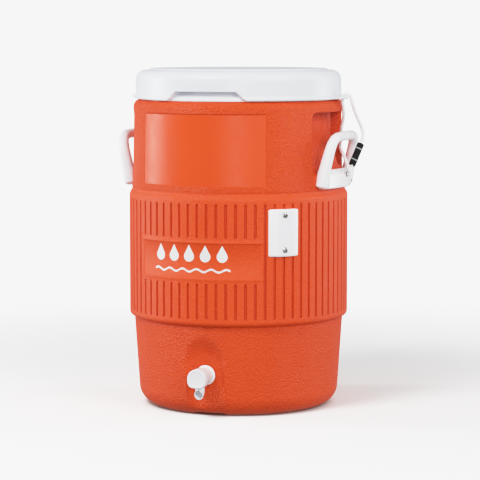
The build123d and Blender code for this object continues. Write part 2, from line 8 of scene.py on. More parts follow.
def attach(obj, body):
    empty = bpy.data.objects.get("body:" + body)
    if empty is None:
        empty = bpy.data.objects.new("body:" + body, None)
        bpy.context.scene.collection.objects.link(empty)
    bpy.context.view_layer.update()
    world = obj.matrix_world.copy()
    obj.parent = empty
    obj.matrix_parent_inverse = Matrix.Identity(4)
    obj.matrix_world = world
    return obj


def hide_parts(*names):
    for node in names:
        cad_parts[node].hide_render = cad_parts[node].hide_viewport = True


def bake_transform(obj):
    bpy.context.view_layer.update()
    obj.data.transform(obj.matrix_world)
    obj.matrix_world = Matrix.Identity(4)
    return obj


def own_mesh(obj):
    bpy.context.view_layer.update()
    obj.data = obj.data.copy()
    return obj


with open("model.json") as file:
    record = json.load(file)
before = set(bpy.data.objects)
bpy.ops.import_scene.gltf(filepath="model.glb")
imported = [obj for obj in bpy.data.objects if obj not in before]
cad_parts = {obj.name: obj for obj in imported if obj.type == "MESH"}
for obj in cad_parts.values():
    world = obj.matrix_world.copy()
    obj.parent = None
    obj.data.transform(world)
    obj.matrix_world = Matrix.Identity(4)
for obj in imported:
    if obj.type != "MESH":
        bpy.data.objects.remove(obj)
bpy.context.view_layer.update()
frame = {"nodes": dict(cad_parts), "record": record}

# Everything is in metres in the part's own frame: +Z up, the spigot at -Y, the tethered handle
# at +X. Angles round the jug are in degrees from the spigot towards +X.

MM = 0.001

# ---- Camera ----
CAM_AZIMUTH = math.radians(19.0)
CAM_DISTANCE = 3.177
CAM_HEIGHT = 0.552
CAM_RIGHT = 0.0021
CAM_PITCH = math.radians(5.56)
CAM_LENS = 159.9

# ---- Tether route, the same points as the part's ----
ROPE_ROUTE = [
    (0.18406, 0.01789, 0.38928),
    (0.18611, 0.02308, 0.39732),
    (0.1854, 0.024, 0.4085),
    (0.1815, 0.017, 0.4215),
    (0.1775, 0.0085, 0.436),
    (0.1746, 0.0035, 0.449),
    (0.1728, 0.001, 0.4601),
    (0.1665, 0.0, 0.4638),
    (0.1602, 0.0, 0.4601),
    (0.1603, 0.0016, 0.450),
    (0.1606, 0.0075, 0.439),
    (0.1584, 0.015, 0.428),
    (0.1534, 0.023, 0.4155),
    (0.1504, 0.027, 0.4025),
    (0.1506, 0.0245, 0.391),
    (0.154, 0.014, 0.382),
    (0.1615, 0.0, 0.3755),
    (0.1695, -0.0125, 0.368),
    (0.1753, -0.0182, 0.3573),
    (0.1739, -0.0147, 0.3508),
    (0.17415, -0.0072, 0.35046),
    (0.1762, -0.002, 0.3585),
]
ROPE_D = 0.005
ROPE_PITCH = 0.0125
STRANDS = 3
STRAND_OFFSET, STRAND_R = ROPE_D * 0.245, ROPE_D * 0.275

# ---- Body, in millimetres ----
WALL = 3.2
BELT_R = 162.5
PITCH = 5.0                  # degrees from groove to groove
GROOVE_LOW_Z, GROOVE_HIGH_Z = 142.0, 309.0
GROOVE_HALF = 2.1
GROOVE_DEPTH = 2.0
PANEL_FROM, PANEL_TO = -38.75, 31.25
PANEL_LOW_Z, PANEL_HIGH_Z = 201.0, 253.0
PANEL_MARGIN = 6.0
PANEL_DEPTH = 0.8
LABEL = (-41.0, 33.6, 333.0, 436.0)
SMOOTHER = {"low": 0.1, "belt": 0.6}    # how much less orange-peel than the neck
POCKET_BACK = [(136.5, 402.0), (142.0, 380.0), (147.0, 358.0), (158.6, 346.0)]
POCKET_HALF_ANGLE = 28.0
POCKET_HIGH_Z = 436.0
POCKET_CORNER = 9.0
POCKET_ARC = 2.7             # millimetres to a degree at the pocket's ends
SCOOP_BACK_Y, SCOOP_FRONT_Y = 143.0, 156.0
SCOOP_BACK, SCOOP_FRONT = (22.0, 64.0), (35.0, 82.5)
SCOOP_DISH = (0.6, 0.66)      # under 1 makes the rim steep and the back gentle; sides, top
SCOOP_FOOT_Z = 3.6
NO_SCOOP_R = 400.0
OUTSIDE_R = 170.0            # further out than any of the body
SPIGOT_Z = 60.5
BRACKET_AZIMUTH = 42.4
BRACKET_Z = 267.5
BRACKET_HALF_HEIGHT = 34.0
BRACKET_SCREW_Z = (243.1, 292.9)
HANDLE_SCREWS = [(-21.5, 334.0), (0.0, 345.5), (21.5, 334.0)]    # degrees from the handle's middle, height

# ---- Colours ----
ORANGE_LIGHT = (0.84, 0.076, 0.0095)
ORANGE_DARK = (0.77, 0.067, 0.008)
# darkest orange of the painted shade in the shell's hollows
ORANGE_PAINTED_SHADE = (0.50, 0.030, 0.004)

# ---- Studio ----
WORLD = 0.40
PAPER = 1.66                 # the backdrop's pale grey, before the film tones
FLOOR_ALBEDO = 0.92
FLOOR_GLOW = 0.03
FLOOR_FADE = (0.45, 1.3)     # radii between which the lit floor turns into plain paper
PAINTED_SHADOW_RADII = (0.118, 0.150)  # radii of the painted contact shadow's inner and outer edge, a dark ring under the foot
UNDER_FOOT_SHADE = 0.15
STAGE_R = 11.0
FILM_WHITE = 2.0
FILM_TONES = [(0.0, 0.0), (0.3, 0.3), (0.55, 0.55), (0.8, 0.71), (1.0, 0.79), (1.3, 0.865), (2.0, 0.96)]


# ======== helpers ========
def smoothstep(low, high, value):
    t = np.clip((value - low) / (high - low), 0.0, 1.0)
    return t * t * (3 - 2 * t)


def smooth_min(a, b, k):
    h = np.clip(k - np.abs(a - b), 0.0, None) / k
    return np.minimum(a, b) - h * h * k / 4


def smooth_max(a, b, k):
    return -smooth_min(-a, -b, k)


def window(value, low, high, soft):
    """1 between low and high, 0 outside, with soft ends."""
    return smoothstep(low - soft, low + soft, value) * (1 - smoothstep(high - soft, high + soft, value))


def turns(count):
    """Evenly spaced angles of one full turn."""
    return np.arange(count) / count * math.tau


def fuller_oval(turn, power, wide, tall):
    """Coordinates of an oval whose corners are fuller the further the power is below 1."""
    c, s = np.cos(turn), np.sin(turn)
    return np.sign(c) * np.abs(c) ** power * wide, np.sign(s) * np.abs(s) ** power * tall


def moved(points, place):
    """Points in millimetres, moved by a placement in metres."""
    m = np.array(place, float)
    return np.array(points, float) @ m[:3, :3].T + m[:3, 3] / MM


def in_scene(name, data):
    obj = bpy.data.objects.new(name, data)
    bpy.context.scene.collection.objects.link(obj)
    return obj


def new_object(name, points, faces, material, body=None, sharp=None):
    """Mesh object from points in metres, smooth shaded."""
    mesh = bpy.data.meshes.new(name)
    mesh.from_pydata([tuple(p) for p in points], [], [tuple(f) for f in faces])
    mesh.validate()
    mesh.shade_smooth()
    if sharp:
        mesh.set_sharp_from_angle(angle=math.radians(sharp))
    obj = in_scene(name, mesh)
    mesh.materials.append(material)
    if body:
        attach(obj, body)
    return obj


class Shape:
    """Points and faces gathered from several closed forms, in millimetres."""

    def __init__(self):
        self.points = []
        self.faces = []

    def add(self, points, faces):
        base = len(self.points)
        self.points += [tuple(float(x) for x in p) for p in points]
        self.faces += [tuple(base + i for i in f) for f in faces]

    def grid(self, rows, cap_low=True, cap_high=True, closed=False, place=None):
        """rows is a list of equal rings of points. Caps are fans to each end ring's middle."""
        n = len(rows[0])
        points = [p for row in rows for p in row]
        faces = []
        spans = len(rows) if closed else len(rows) - 1
        for j in range(spans):
            a, b = j * n, (j + 1) % len(rows) * n
            for i in range(n):
                k = (i + 1) % n
                faces.append((a + i, a + k, b + k, b + i))
        if not closed:
            for cap, row, flip in ((cap_low, 0, True), (cap_high, len(rows) - 1, False)):
                if cap:
                    middle = np.mean(np.array(rows[row], float), axis=0)
                    points.append(tuple(middle))
                    m = len(points) - 1
                    for i in range(n):
                        a, b = row * n + i, row * n + (i + 1) % n
                        faces.append((b, a, m) if flip else (a, b, m))
        self.add(points if place is None else moved(points, place), faces)

    def object(self, name, material, body, sharp=None, place=None):
        points = np.array(self.points) if place is None else moved(self.points, place)
        return new_object(name, points * MM, self.faces, material, body, sharp)


def lathe_rows(profile, segments, reach=None):
    """Rings about the local Z axis from a profile of (radius, height). reach bends a ring's outline."""
    turn = turns(segments)
    rows = []
    for radius, height in profile:
        radii = np.full(segments, float(radius)) if reach is None else reach(radius, turn)
        rows.append([(r * math.cos(t), r * math.sin(t), height) for r, t in zip(radii, turn)])
    return rows


def rounded(points, radius, steps=4):
    """Open polyline with each inner corner rounded. A point may carry its own radius."""
    out = [points[0][:2]]
    for a, b, c in zip(points, points[1:], points[2:]):
        r = b[2] if len(b) > 2 else radius
        a, b, c = (np.array(p[:2], float) for p in (a, b, c))
        u, v = a - b, c - b
        lu, lv = np.linalg.norm(u), np.linalg.norm(v)
        u, v = u / lu, v / lv
        half = math.acos(float(np.clip(u @ v, -1, 1))) / 2
        cut = min(r / math.tan(half), 0.49 * lu, 0.49 * lv) if half > 1e-4 else 0
        if cut < 1e-4 or abs(half - math.pi / 2) < 1e-3:
            out.append(tuple(b))
            continue
        start, end = b + u * cut, b + v * cut
        for i in range(steps + 1):
            t = i / steps
            p = (1 - t) ** 2 * start + 2 * t * (1 - t) * b + t ** 2 * end
            out.append(tuple(p))
    out.append(points[-1][:2])
    return out


def both_ends(low, high, steps):
    """Pairs of (height, inset) from low to high. steps are (distance from an end, inset)."""
    return [(low + d, inset) for d, inset in steps] + [(high - d, inset) for d, inset in reversed(steps)]


def along_front(distance, z, angle=0.0):
    """Placement whose local Z points out of the jug at an angle, in metres."""
    azimuth = Matrix.Rotation(math.radians(angle), 4, "Z")
    return azimuth @ Matrix.Translation((0, -distance * MM, z * MM)) @ Matrix.Rotation(math.pi / 2, 4, "X")


# ======== materials ========
class Nodes:
    """A material with a small wrapper that keeps node code short."""

    def __init__(self, name):
        self.material = bpy.data.materials.new(name)
        self.material.use_nodes = True
        self.tree = self.material.node_tree
        self.shader = self.tree.nodes["Principled BSDF"]

    def node(self, kind, **values):
        """New node. Lower-case names are its settings, others its sockets with _ for each space."""
        node = self.tree.nodes.new(kind)
        for key, value in values.items():
            if key.islower():
                setattr(node, key, value)
            else:
                self.put(node, key.replace("_", " "), value)
        return node

    def put(self, node, socket, value):
        if isinstance(value, bpy.types.NodeSocket):
            self.tree.links.new(value, node.inputs[socket])
        else:
            node.inputs[socket].default_value = value

    def where(self):
        return self.node("ShaderNodeTexCoord").outputs["Object"]

    def noise(self, scale, detail=2.0, rough=0.5, distortion=0.0):
        return self.node("ShaderNodeTexNoise", Scale=scale, Detail=detail, Roughness=rough,
                         Distortion=distortion, Vector=self.where()).outputs["Fac"]

    def cells(self, scale, smooth):
        return self.node("ShaderNodeTexVoronoi", feature="SMOOTH_F1", Scale=scale, Smoothness=smooth,
                         Vector=self.where()).outputs["Distance"]

    def math(self, operation, a, b):
        node = self.node("ShaderNodeMath", operation=operation)
        self.put(node, 0, a)
        self.put(node, 1, b)
        return node.outputs[0]

    def span(self, value, low, high, to_low=0.0, to_high=1.0, **settings):
        return self.node("ShaderNodeMapRange", Value=value, From_Min=low, From_Max=high, To_Min=to_low,
                         To_Max=to_high, **settings).outputs["Result"]

    def ramp(self, value, stops):
        node = self.node("ShaderNodeValToRGB", Fac=value)
        ramp = node.color_ramp
        ramp.elements[0].position, ramp.elements[0].color = stops[0][0], (*stops[0][1], 1)
        ramp.elements[1].position, ramp.elements[1].color = stops[-1][0], (*stops[-1][1], 1)
        for position, colour in stops[1:-1]:
            ramp.elements.new(position).color = (*colour, 1)
        return node.outputs["Color"]

    def bump(self, height, strength, distance, before=None):
        node = self.node("ShaderNodeBump", Strength=strength, Distance=distance, Height=height)
        if before is not None:
            self.put(node, "Normal", before)
        return node.outputs["Normal"]

    def light(self, strength):
        return self.node("ShaderNodeEmission", Color=(PAPER, PAPER, PAPER, 1), Strength=strength).outputs[0]

    def mix(self, share, low, high):
        node = self.node("ShaderNodeMixShader")
        for socket, value in enumerate((share, low, high)):
            self.put(node, socket, value)
        return node.outputs[0]

    def finish(self, **values):
        """Sets the Principled shader's sockets."""
        for key, value in values.items():
            self.put(self.shader, key.replace("_", " "), value)
        return self.material

    def surface(self, shader):
        """Shows another shader in place of the Principled one."""
        self.tree.nodes.remove(self.shader)
        self.tree.links.new(shader, self.tree.nodes["Material Output"].inputs["Surface"])
        return self.material


def orange_plastic():
    m = Nodes("orange_polyethylene")
    label = m.node("ShaderNodeAttribute", attribute_name="label").outputs["Fac"]
    grain = m.noise(560, 3.0, 0.55)
    peel = m.cells(430, 0.7)
    broad = m.noise(9, 2.0, 0.5)
    texture = m.math("ADD", m.math("MULTIPLY", peel, 0.8), m.math("MULTIPLY", grain, 1.1))
    amount = m.span(label, 0, 1, 1.0, 0.08)
    normal = m.bump(m.math("MULTIPLY", texture, amount), 1.0, 0.0019)
    normal = m.bump(m.noise(26, 2.0), 0.12, 0.0015, normal)
    colour = m.ramp(m.math("ADD", m.math("MULTIPLY", broad, 0.7), m.math("MULTIPLY", grain, 0.3)),
                    [(0.3, ORANGE_DARK), (0.7, ORANGE_LIGHT)])
    # Painted shade: the orange darkens in the scoop, pockets, grooves and other hollows, going by the shell's
    # own ambient occlusion.
    shade = m.node("ShaderNodeAmbientOcclusion", Distance=0.045)
    shade.samples = 8
    shade.only_local = True
    painted_shade_orange = m.node("ShaderNodeMix", data_type="RGBA")
    m.put(painted_shade_orange, 0, m.span(shade.outputs["AO"], 0.45, 0.92))
    m.put(painted_shade_orange, 6, (*ORANGE_PAINTED_SHADE, 1))
    m.put(painted_shade_orange, 7, colour)
    rough = m.span(m.noise(60, 3.0), 0.3, 0.7, 0.46, 0.56)
    rough = m.math("SUBTRACT", rough, m.math("MULTIPLY", label, 0.12))
    return m.finish(Base_Color=painted_shade_orange.outputs[2], Roughness=rough, Normal=normal, Specular_IOR_Level=0.3)


def white_plastic(name, light, dark, rough, peel):
    m = Nodes(name)
    broad = m.noise(14, 3.0, 0.55)
    fine = m.noise(700, 2.0)
    scuff = m.noise(90, 4.0, 0.7, distortion=0.8)
    colour = m.ramp(broad, [(0.3, dark), (0.7, light)])
    normal = m.bump(m.math("ADD", fine, m.math("MULTIPLY", m.cells(380, 0.9), 0.8)), peel, 0.0003)
    normal = m.bump(m.noise(22, 2.0), 0.05, 0.0015, normal)
    return m.finish(Base_Color=colour, Roughness=m.span(scuff, 0.35, 0.7, rough, rough + 0.12),
                    Normal=normal, Specular_IOR_Level=0.45)


def steel(name, light, dark, rough):
    m = Nodes(name)
    brushed = m.noise(900, 3.0, 0.6)
    stain = m.noise(240, 3.0, 0.6)
    colour = m.ramp(stain, [(0.35, dark), (0.65, light)])
    return m.finish(Base_Color=colour, Metallic=1.0, Normal=m.bump(brushed, 0.15, 0.0001),
                    Roughness=m.span(brushed, 0.3, 0.7, rough, rough + 0.15))


def rope_fibre():
    m = Nodes("white_cord_fibre")
    fibre = m.noise(2600, 3.0, 0.6)
    tuft = m.noise(420, 2.0, 0.5)
    colour = m.ramp(tuft, [(0.3, (0.80, 0.77, 0.80)), (0.52, (0.91, 0.90, 0.92)),
                           (0.75, (0.95, 0.95, 0.96))])
    return m.finish(Base_Color=colour, Roughness=0.72, Normal=m.bump(fibre, 0.5, 0.0003),
                    Sheen_Weight=0.25, Sheen_Roughness=0.5)


def dark_sleeve():
    m = Nodes("black_woven_sleeve")
    weave = m.math("MULTIPLY", m.node("ShaderNodeTexWave", bands_direction="X", Scale=650.0).outputs["Fac"],
                   m.node("ShaderNodeTexWave", bands_direction="Z", Scale=650.0).outputs["Fac"])
    colour = m.ramp(m.noise(300, 3.0), [(0.35, (0.006, 0.006, 0.007)), (0.7, (0.016, 0.016, 0.018))])
    return m.finish(Base_Color=colour, Roughness=0.75, Normal=m.bump(weave, 0.4, 0.0003),
                    Specular_IOR_Level=0.15)


def plain_noise(name, light, dark, rough, scale):
    m = Nodes(name)
    colour = m.ramp(m.noise(scale, 3.0), [(0.35, dark), (0.68, light)])
    return m.finish(Base_Color=colour, Normal=m.bump(m.noise(scale * 4, 2.0), 0.2, 0.0002),
                    Roughness=m.span(m.noise(scale * 2, 2.0), 0.3, 0.7, rough, rough + 0.1))


MAT = {
    "orange_shell": orange_plastic(),
    "white_lid": white_plastic("lid_polyethylene", (0.765, 0.79, 0.84), (0.74, 0.77, 0.82), 0.34, 0.2),
    "white_liner": white_plastic("liner_plastic", (0.84, 0.86, 0.89), (0.81, 0.83, 0.87), 0.3, 0.1),
    "white_fittings": white_plastic("fitting_plastic", (0.90, 0.90, 0.93), (0.88, 0.885, 0.92), 0.26, 0.08),
    "screw_steel": steel("dull_steel", (0.60, 0.59, 0.57), (0.30, 0.30, 0.30), 0.22),
    "spring_steel": steel("spring_wire", (0.6, 0.6, 0.6), (0.4, 0.4, 0.4), 0.25),
    "foam": plain_noise("rigid_foam", (0.9, 0.82, 0.6), (0.8, 0.7, 0.45), 0.85, 300),
    "grey_rubber": plain_noise("grey_rubber", (0.09, 0.09, 0.095), (0.05, 0.05, 0.055), 0.6, 260),
    "white_rope": rope_fibre(),
    "black_sleeve": dark_sleeve(),
}
INK = plain_noise("printed_ink", (0.86, 0.86, 0.86), (0.8, 0.8, 0.8), 0.4, 500)
GREY_BAND = plain_noise("sleeve_band", (0.42, 0.42, 0.43), (0.33, 0.33, 0.34), 0.55, 500)


# ======== camera ========
def make_camera():
    data = bpy.data.cameras.new("camera")
    data.lens = CAM_LENS
    data.sensor_width = 36.0
    data.clip_start, data.clip_end = 0.1, 60.0
    cam = in_scene("camera", data)
    away = Vector((math.sin(CAM_AZIMUTH), -math.cos(CAM_AZIMUTH), 0))
    right = Vector((math.cos(CAM_AZIMUTH), math.sin(CAM_AZIMUTH), 0))
    cam.location = away * CAM_DISTANCE + right * CAM_RIGHT + Vector((0, 0, CAM_HEIGHT))
    cam.rotation_euler = (math.pi / 2 - CAM_PITCH, 0, CAM_AZIMUTH)
    bpy.context.scene.camera = cam


# ======== tether ========
def smooth_route():
    """Points of the smooth line through the tether's route."""
    curve = bpy.data.curves.new("tether_line", "CURVE")
    curve.dimensions = "3D"
    curve.resolution_u = 24
    spline = curve.splines.new("NURBS")
    spline.points.add(len(ROPE_ROUTE) - 1)
    for point, at in zip(spline.points, ROPE_ROUTE):
        point.co = (*at, 1.0)
    spline.order_u = 3
    spline.use_endpoint_u = True
    holder = in_scene("tether_line", curve)
    bpy.context.view_layer.update()
    mesh = bpy.data.meshes.new_from_object(holder)
    points = np.array([v.co for v in mesh.vertices], float)
    bpy.data.objects.remove(holder)
    bpy.data.curves.remove(curve)
    bpy.data.meshes.remove(mesh)
    return points


def even_points(points, step):
    lengths = np.linalg.norm(np.diff(points, axis=0), axis=1)
    at = np.concatenate([[0], np.cumsum(lengths)])
    count = int(at[-1] / step)
    wanted = np.linspace(0, at[-1], count + 1)
    return np.stack([np.interp(wanted, at, points[:, i]) for i in range(3)], axis=1), at[-1]


def carried_frames(points):
    """Two normals at each point, with as little twist as the line allows."""
    tangent = np.gradient(points, axis=0)
    tangent /= np.linalg.norm(tangent, axis=1)[:, None]
    side = np.cross(tangent[0], (0.3, 0.9, 0.2))
    side /= np.linalg.norm(side)
    sides = []
    for t in tangent:
        side = side - t * (side @ t)
        side /= np.linalg.norm(side)
        sides.append(side)
    sides = np.array(sides)
    return sides, np.cross(tangent, sides)


def tube(shape, line, radius):
    """Closed tube along a line in millimetres."""
    a, b = carried_frames(line)
    shape.grid([[tuple(p + radius * (math.cos(t) * u + math.sin(t) * v)) for t in turns(10)]
                for p, u, v in zip(line, a, b)])


def make_tether():
    line, length = even_points(smooth_route(), 0.0009)
    mm = line / MM
    a, b = carried_frames(mm)
    distance = np.linspace(0, length, len(line))
    shape = Shape()
    for k in range(STRANDS):
        turn = math.tau * (distance / ROPE_PITCH + k / STRANDS)
        strand = mm + STRAND_OFFSET / MM * (np.cos(turn)[:, None] * a + np.sin(turn)[:, None] * b)
        tube(shape, strand, STRAND_R / MM)
    rope = shape.object("tether_rope", MAT["white_rope"], None)
    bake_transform(rope)
    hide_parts("tether_cord")
    return rope, line, length


def make_sleeve():
    """Flat woven sleeve that holds the cord's two ends, with two thin bands round it."""
    top, foot = (np.array(p) / MM for p in (ROPE_ROUTE[0], ROPE_ROUTE[-1]))
    axis = Vector(top - foot).normalized()
    wide = Vector((0.82, 0.38, -0.42))
    wide = (wide - axis * wide.dot(axis)).normalized()
    deep = axis.cross(wide)
    middle = Vector((top + foot) / 2)
    place = Matrix.Translation(middle * MM) @ Matrix((wide, deep, axis)).transposed().to_4x4()
    half = float(np.linalg.norm(top - foot)) / 2

    def rings(zs, scale, grow=0.0):
        rows = []
        for z, s in zip(zs, scale):
            x, y = fuller_oval(turns(40), 0.5, (5.0 + grow) * s, (2.5 + grow) * s)
            rows.append([(a, b, z) for a, b in zip(x, y)])
        return rows

    shape = Shape()
    zs = np.array([-half, -half + 0.25, -half + 0.9, -half + 2.2, -half * 0.5, 0, half * 0.5,
                   half - 2.2, half - 0.9, half - 0.25, half])
    shape.grid(rings(zs, [0.86, 0.94, 0.99, 1.0, 1.0, 0.985, 1.0, 1.0, 0.99, 0.94, 0.86]))
    sleeve = shape.object("tether_sleeve", MAT["black_sleeve"], "body", 50, place)
    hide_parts("tether_tag")
    for name, at in (("sleeve_band_upper", 9.5), ("sleeve_band_lower", -9.5)):
        band = Shape()
        band.grid(rings([at - 0.9, at - 0.8, at + 0.8, at + 0.9], [1, 1, 1, 1], 0.12))
        piece = band.object(name, GREY_BAND, "body", 50, place)
    return sleeve


make_camera()
rope, rope_line, rope_length = make_tether()
sleeve = make_sleeve()


# ======== outer shell ========
def column_set(parts):
    """Sorted angles in degrees, -180 to 180, from (low, high, step) spans and single values."""
    angles = []
    for part in parts:
        if isinstance(part, tuple):
            low, high, step = part
            angles += list(np.arange(low, high - step * 0.25, step))
        else:
            angles.append(part)
    angles = np.unique(np.round(angles, 3))
    keep = [angles[0]]
    for a in angles[1:]:
        if a - keep[-1] > 0.12:
            keep.append(a)
    return np.array(keep)


def belt_columns():
    arc = BELT_R * math.radians(1.0)
    near = [-4.2, -2.3, -2.0, -1.55, -1.0, 0.0, 1.0, 1.55, 2.0, 2.3, 4.2]
    offsets = [x / arc for x in near] + [PITCH / 2]
    angles = [-180 + PITCH * (i + 0.5) + o for i in range(72) for o in offsets]
    return np.sort(np.array(angles))


def neck_columns():
    edges = []
    for side in (-90, 90):
        for end in (-POCKET_HALF_ANGLE, POCKET_HALF_ANGLE):
            edges += [side + end + d for d in (-1.4, -0.9, -0.6, -0.35, -0.1, 0.15, 0.4, 0.7, 1.1, 1.6)]
            inward = 1 if end < 0 else -1
            edges += [side + end + inward * d for d in (1.9, 2.4, 2.9, 3.4)]
    for edge in LABEL[:2]:
        edges += [edge - 0.3, edge, edge + 0.3]
    return column_set([(-180, 180, 2.0)] + edges)


def low_columns():
    return column_set([(-180, -17, 2.0), (-17, 17, 0.4), (17, 180, 2.0)])


def scoop_radius(angle, z):
    """Distance from the axis to the arched scoop's surface; large where there is no scoop."""
    turned = np.radians(np.clip(angle, -60, 60))
    depth = SCOOP_FRONT_Y - SCOOP_BACK_Y
    wider = SCOOP_FRONT[0] - SCOOP_BACK[0]
    higher = SCOOP_FRONT[1] - SCOOP_BACK[1]
    y = np.full(np.shape(angle + z), SCOOP_BACK_Y + 6.0)
    for _ in range(7):                  # each round starts from the last one's surface
        x = np.abs(y * np.tan(turned))
        low, high = np.full_like(y, -25.0), np.full_like(y, 60.0)
        for _ in range(22):             # halves the span that holds the surface
            t = (low + high) / 2
            aside, aloft = (np.sign(t) * np.abs(t / depth) ** power for power in SCOOP_DISH)
            half = SCOOP_BACK[0] + wider * aside
            up = np.clip(z - SCOOP_BACK[1] - higher * aloft, 0, None)
            inside = np.hypot(x, up) < half
            high = np.where(inside, t, high)
            low = np.where(inside, low, t)
        y = SCOOP_BACK_Y + smooth_max(t, np.zeros_like(t), 2.4)
    return np.where(np.abs(angle) > 50, NO_SCOOP_R, y / np.cos(turned))


def pocket_share(angle, z, grow=0.0):
    """1 inside a handle pocket, 0 outside, with soft rims."""
    along = (np.abs(np.abs(angle) - 90) - POCKET_HALF_ANGLE) * POCKET_ARC - grow + POCKET_CORNER
    above = z - POCKET_HIGH_Z - grow + POCKET_CORNER
    off = np.hypot(np.clip(along, 0, None), np.clip(above, 0, None)) + np.minimum(np.maximum(along, above), 0)
    return 1 - smoothstep(-1.3, 1.3, off - POCKET_CORNER)


def pocket_radius(z):
    back_r, back_z = zip(*reversed(POCKET_BACK))
    return np.interp(z, back_z, back_r, left=OUTSIDE_R)


def groove_depth(angle, z):
    """How far the belt's surface goes in at each point."""
    centre = np.round((angle + 180) / PITCH - 0.5) * PITCH + PITCH / 2 - 180
    u = np.radians(angle - centre) * BELT_R
    in_panel = (centre > PANEL_FROM) & (centre < PANEL_TO)

    def slot(low, high):
        v = np.clip(np.maximum(low + GROOVE_HALF - z, z - (high - GROOVE_HALF)), 0, None)
        return 1 - smoothstep(1.0, 2.1, np.hypot(u, v))

    whole = slot(GROOVE_LOW_Z, GROOVE_HIGH_Z)
    lower = slot(GROOVE_LOW_Z, PANEL_LOW_Z - PANEL_MARGIN)
    upper = slot(PANEL_HIGH_Z + PANEL_MARGIN, GROOVE_HIGH_Z)
    depth = GROOVE_DEPTH * np.where(in_panel, np.maximum(lower, upper), whole)
    x = np.radians(angle) * BELT_R
    left, right = math.radians(PANEL_FROM) * BELT_R, math.radians(PANEL_TO) * BELT_R
    outside = np.maximum.reduce(np.broadcast_arrays(left - x, x - right, PANEL_LOW_Z - z, z - PANEL_HIGH_Z))
    depth += PANEL_DEPTH * (1 - smoothstep(-1.6, -0.4, outside))
    ridge = smoothstep(-1.3, -0.4, outside) * (1 - smoothstep(1.2, 2.2, outside))
    return depth - 0.45 * ridge


def label_share(angle, z):
    low_a, high_a, low_z, high_z = LABEL
    return window(angle, low_a, high_a, 0.25) * window(z, low_z, high_z, 0.8)


def body_rows():
    """Rows of the outside as (zone, radius, height), from the foot to the mouth."""
    foot = [(40.0, 4.0), (99.0, 4.0), (100.5, 3.7), (103.5, 0.4), (105.0, 0.0), (114.0, 0.0)]
    rows = [("low", radius, z) for radius, z in foot]
    for a in np.linspace(0, math.pi / 2, 11):
        rows.append(("low", 120.4 + 28 * math.sin(a), 28 - 28 * math.cos(a)))
    side = [(148.4, 28.0), (155.4, 131.0), (155.5, 132.0), (156.6, 132.5), (158.6, 133.4), (160.4, 134.6),
            (161.7, 136.0), (162.3, 137.6), (BELT_R, 139.5), (BELT_R, 312.0), (162.4, 313.5), (162.0, 315.2),
            (161.2, 317.0), (160.1, 318.8), (159.1, 320.2), (158.7, 321.4), (158.5, 323.0), (156.1, 443.0)]
    side_r, side_z = zip(*side)
    low = list(np.arange(31, 118, 2.2)) + [120, 124, 128, 131]
    belt = [z for z in side_z if 131.0 < z < 443.0] + [168.0, 227.0, 284.0]
    for end in (-0.2, 0.3, 0.9, 1.6, 2.4, 3.4, 5.0):
        belt += [GROOVE_LOW_Z + end, PANEL_LOW_Z - PANEL_MARGIN - end]
        belt += [PANEL_HIGH_Z + PANEL_MARGIN + end, GROOVE_HIGH_Z - end]
    for d in (-2.3, -1.2, -0.3, 0.4, 1.0, 1.7):
        belt += [PANEL_LOW_Z + d, PANEL_HIGH_Z - d]
    neck = [326.0, 329.5, 332.2, 333.0, 333.8, 337.0, 340.5, 344, 345.3, 346.5, 348, 351]
    neck += list(np.arange(354, 424, 3.6)) + list(np.arange(424.5, 433, 1.3))
    neck += [433.4, 434.2, 435.0, 435.6, 436.2, 437.0, 438.0, 439.5, 441.0]
    rows += [("low", np.interp(z, side_z, side_r), z) for z in low]
    rows += [("belt", np.interp(z, side_z, side_r), z) for z in sorted(belt)]
    rows += [("neck", np.interp(z, side_z, side_r), z) for z in neck]
    for a in np.linspace(0, math.pi / 2, 9):
        rows.append(("neck", 145.1 + 11 * math.cos(a), 443 + 11 * math.sin(a)))
    return rows + [("neck", 140.0, 454.0), ("neck", 132.0, 454.0), ("neck", 130.5, 453.6)]


def outer_surface(zone, angle, radius, z, inset=0.0):
    """Radius and height at each angle of one row."""
    r = np.full_like(angle, radius)
    heights = np.full_like(angle, z)
    if zone == "low":
        if z > 0.5:
            r = smooth_min(r, scoop_radius(angle, np.full_like(angle, z)) - inset, 3.2)
        x = np.abs(np.radians(angle) * radius)
        foot = SCOOP_FOOT_Z * (1 - smoothstep(22.4, 24.6, x)) * smoothstep(101, 106, radius)
        heights = np.maximum(heights, foot + inset * (foot > 0))
    elif zone == "belt" and inset == 0:
        r = r - groove_depth(angle, heights)
    elif zone == "neck":
        share = pocket_share(angle, heights, inset)
        back = np.minimum(pocket_radius(heights) - inset, r)
        r = r + share * (back - r)
        if inset == 0 and z < 440:
            r = r - 0.1 * label_share(angle, heights)
    return r, heights


def ring_points(angle, r, z):
    a = np.radians(angle)
    return np.stack([r * np.sin(a), -r * np.cos(a), z], axis=1)


def zip_rings(faces, a_at, a_angle, b_at, b_angle):
    """Triangles between two closed rings whose angles differ."""
    i = j = 0
    n, m = len(a_angle), len(b_angle)
    while i < n or j < m:
        next_a = a_angle[(i + 1) % n] + (360 if i + 1 >= n else 0) if i < n else math.inf
        next_b = b_angle[(j + 1) % m] + (360 if j + 1 >= m else 0) if j < m else math.inf
        p, q = a_at + i % n, b_at + j % m
        if next_a <= next_b:
            faces.append((p, a_at + (i + 1) % n, q))
            i += 1
        else:
            faces.append((p, b_at + (j + 1) % m, q))
            j += 1


